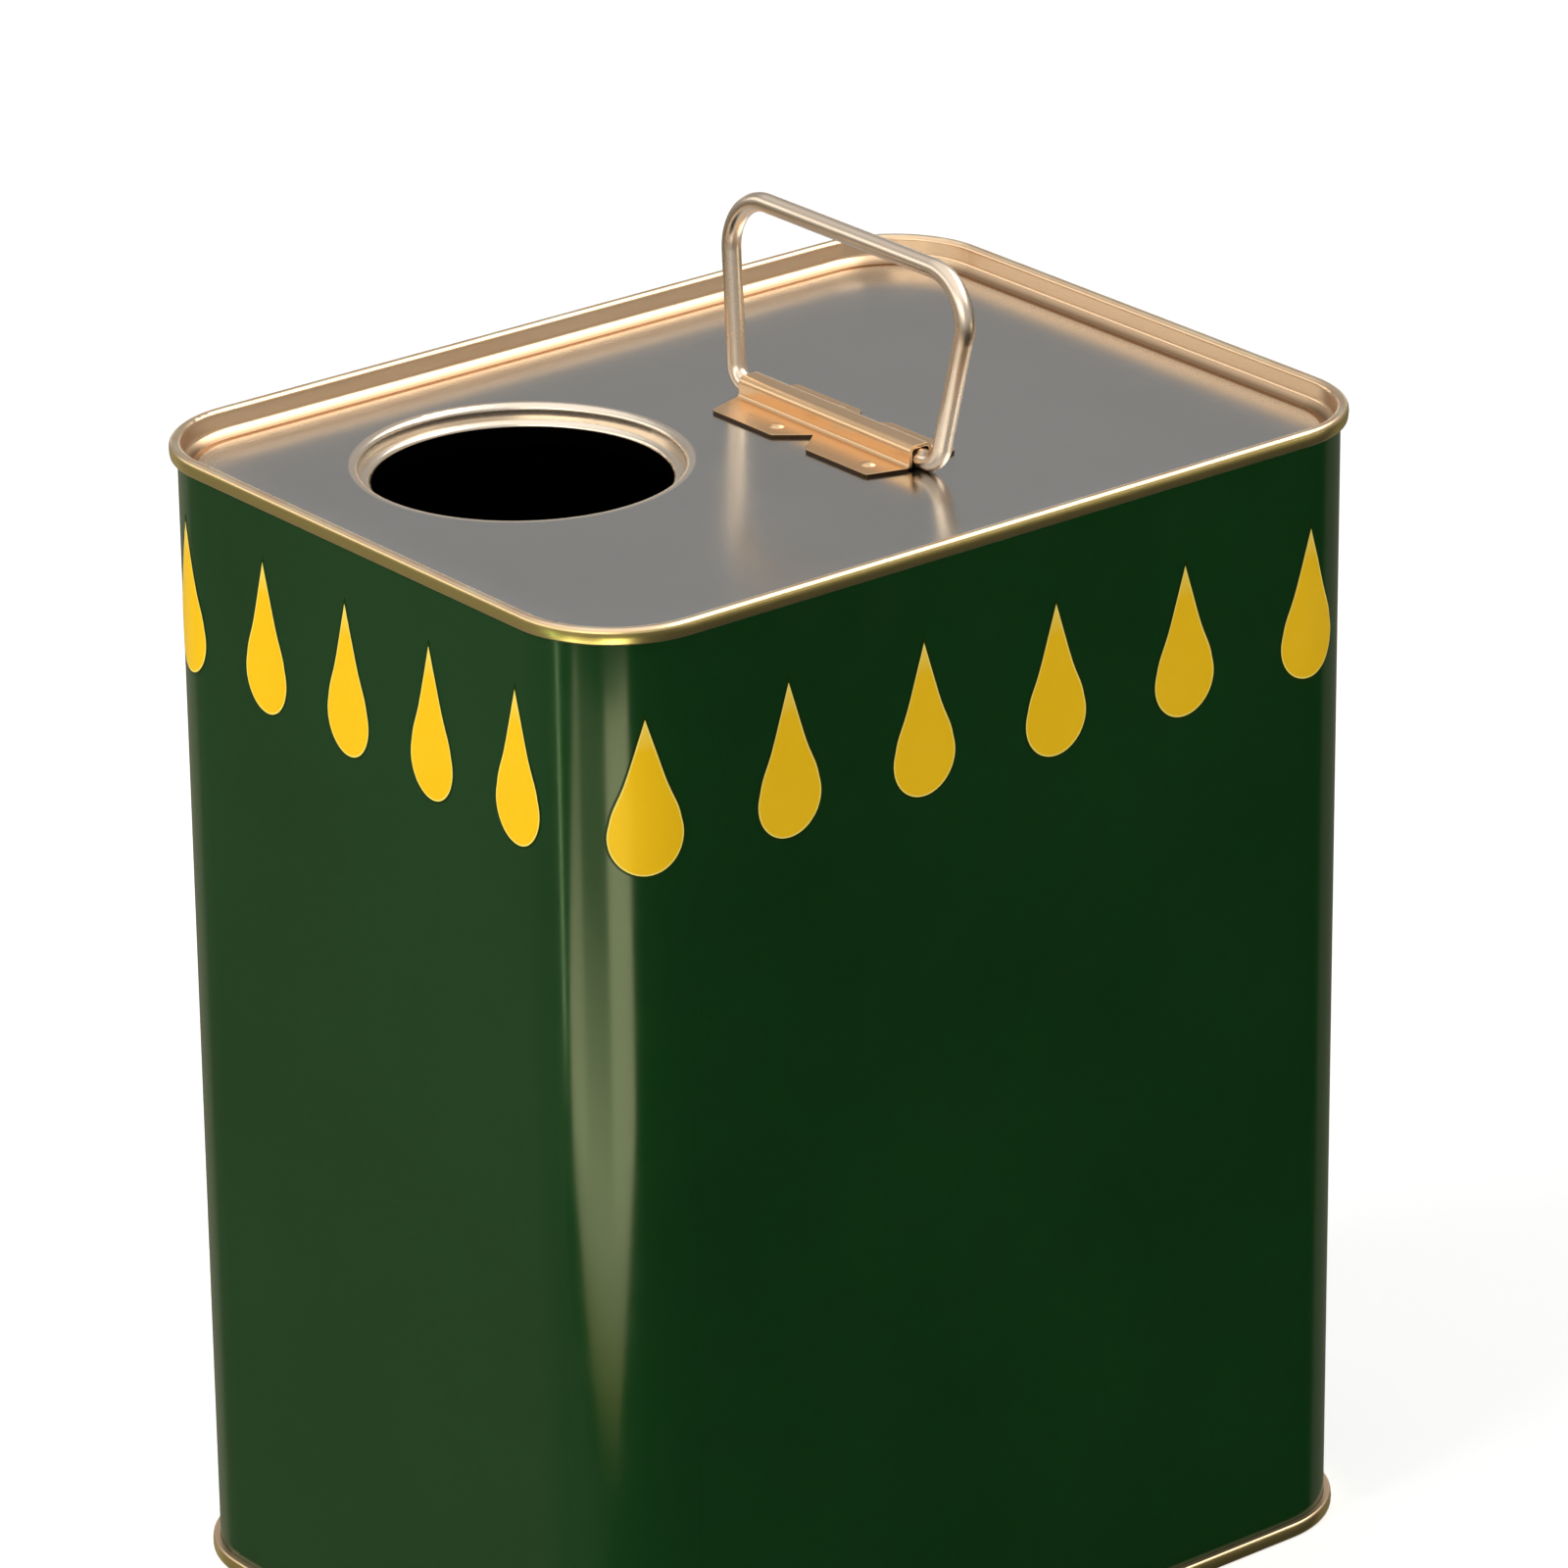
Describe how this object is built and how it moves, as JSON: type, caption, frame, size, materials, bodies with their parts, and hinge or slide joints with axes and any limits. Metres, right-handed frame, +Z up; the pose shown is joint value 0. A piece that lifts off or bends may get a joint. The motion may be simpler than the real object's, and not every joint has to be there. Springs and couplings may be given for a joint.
{
  "type": "oil tin",
  "caption": "Rectangular seamed tinplate oil tin with rounded corners, a drawn round pour opening in its recessed top and a fold-down wire handle.",
  "frame": {"origin": "middle of the footprint on the surface that the tin stands on", "axes": "+Z up; X along the wide sides, with the pour opening towards -X; Y along the narrow sides, with the pour opening towards +Y"},
  "size_m": [0.1412, 0.1068, 0.198],
  "materials": {
    "green_lacquer": "gloss stoved lacquer on tinplate",
    "tinplate_end": "satin tinplate with a gold lacquered seam",
    "sealing_compound": "matt dried latex",
    "gold_lacquer": "clear gold lacquer on pressed tinplate",
    "tinned_wire": "drawn and tinned steel wire"
  },
  "bodies": {
    "tin": {"body_shell": "green_lacquer", "top_end": "tinplate_end", "bottom_end": "tinplate_end", "top_seam_compound": "sealing_compound", "bottom_seam_compound": "sealing_compound", "handle_bracket": "gold_lacquer"},
    "handle": {"wire_handle": "tinned_wire"}
  },
  "joints": [
    {"name": "handle_swing", "type": "hinge", "parent": "tin", "child": "handle", "pos_m": [0.0111, -0.003, 0.1696], "axis": [0, 1, 0], "range_deg": [-94.5, 83.5]}
  ]
}
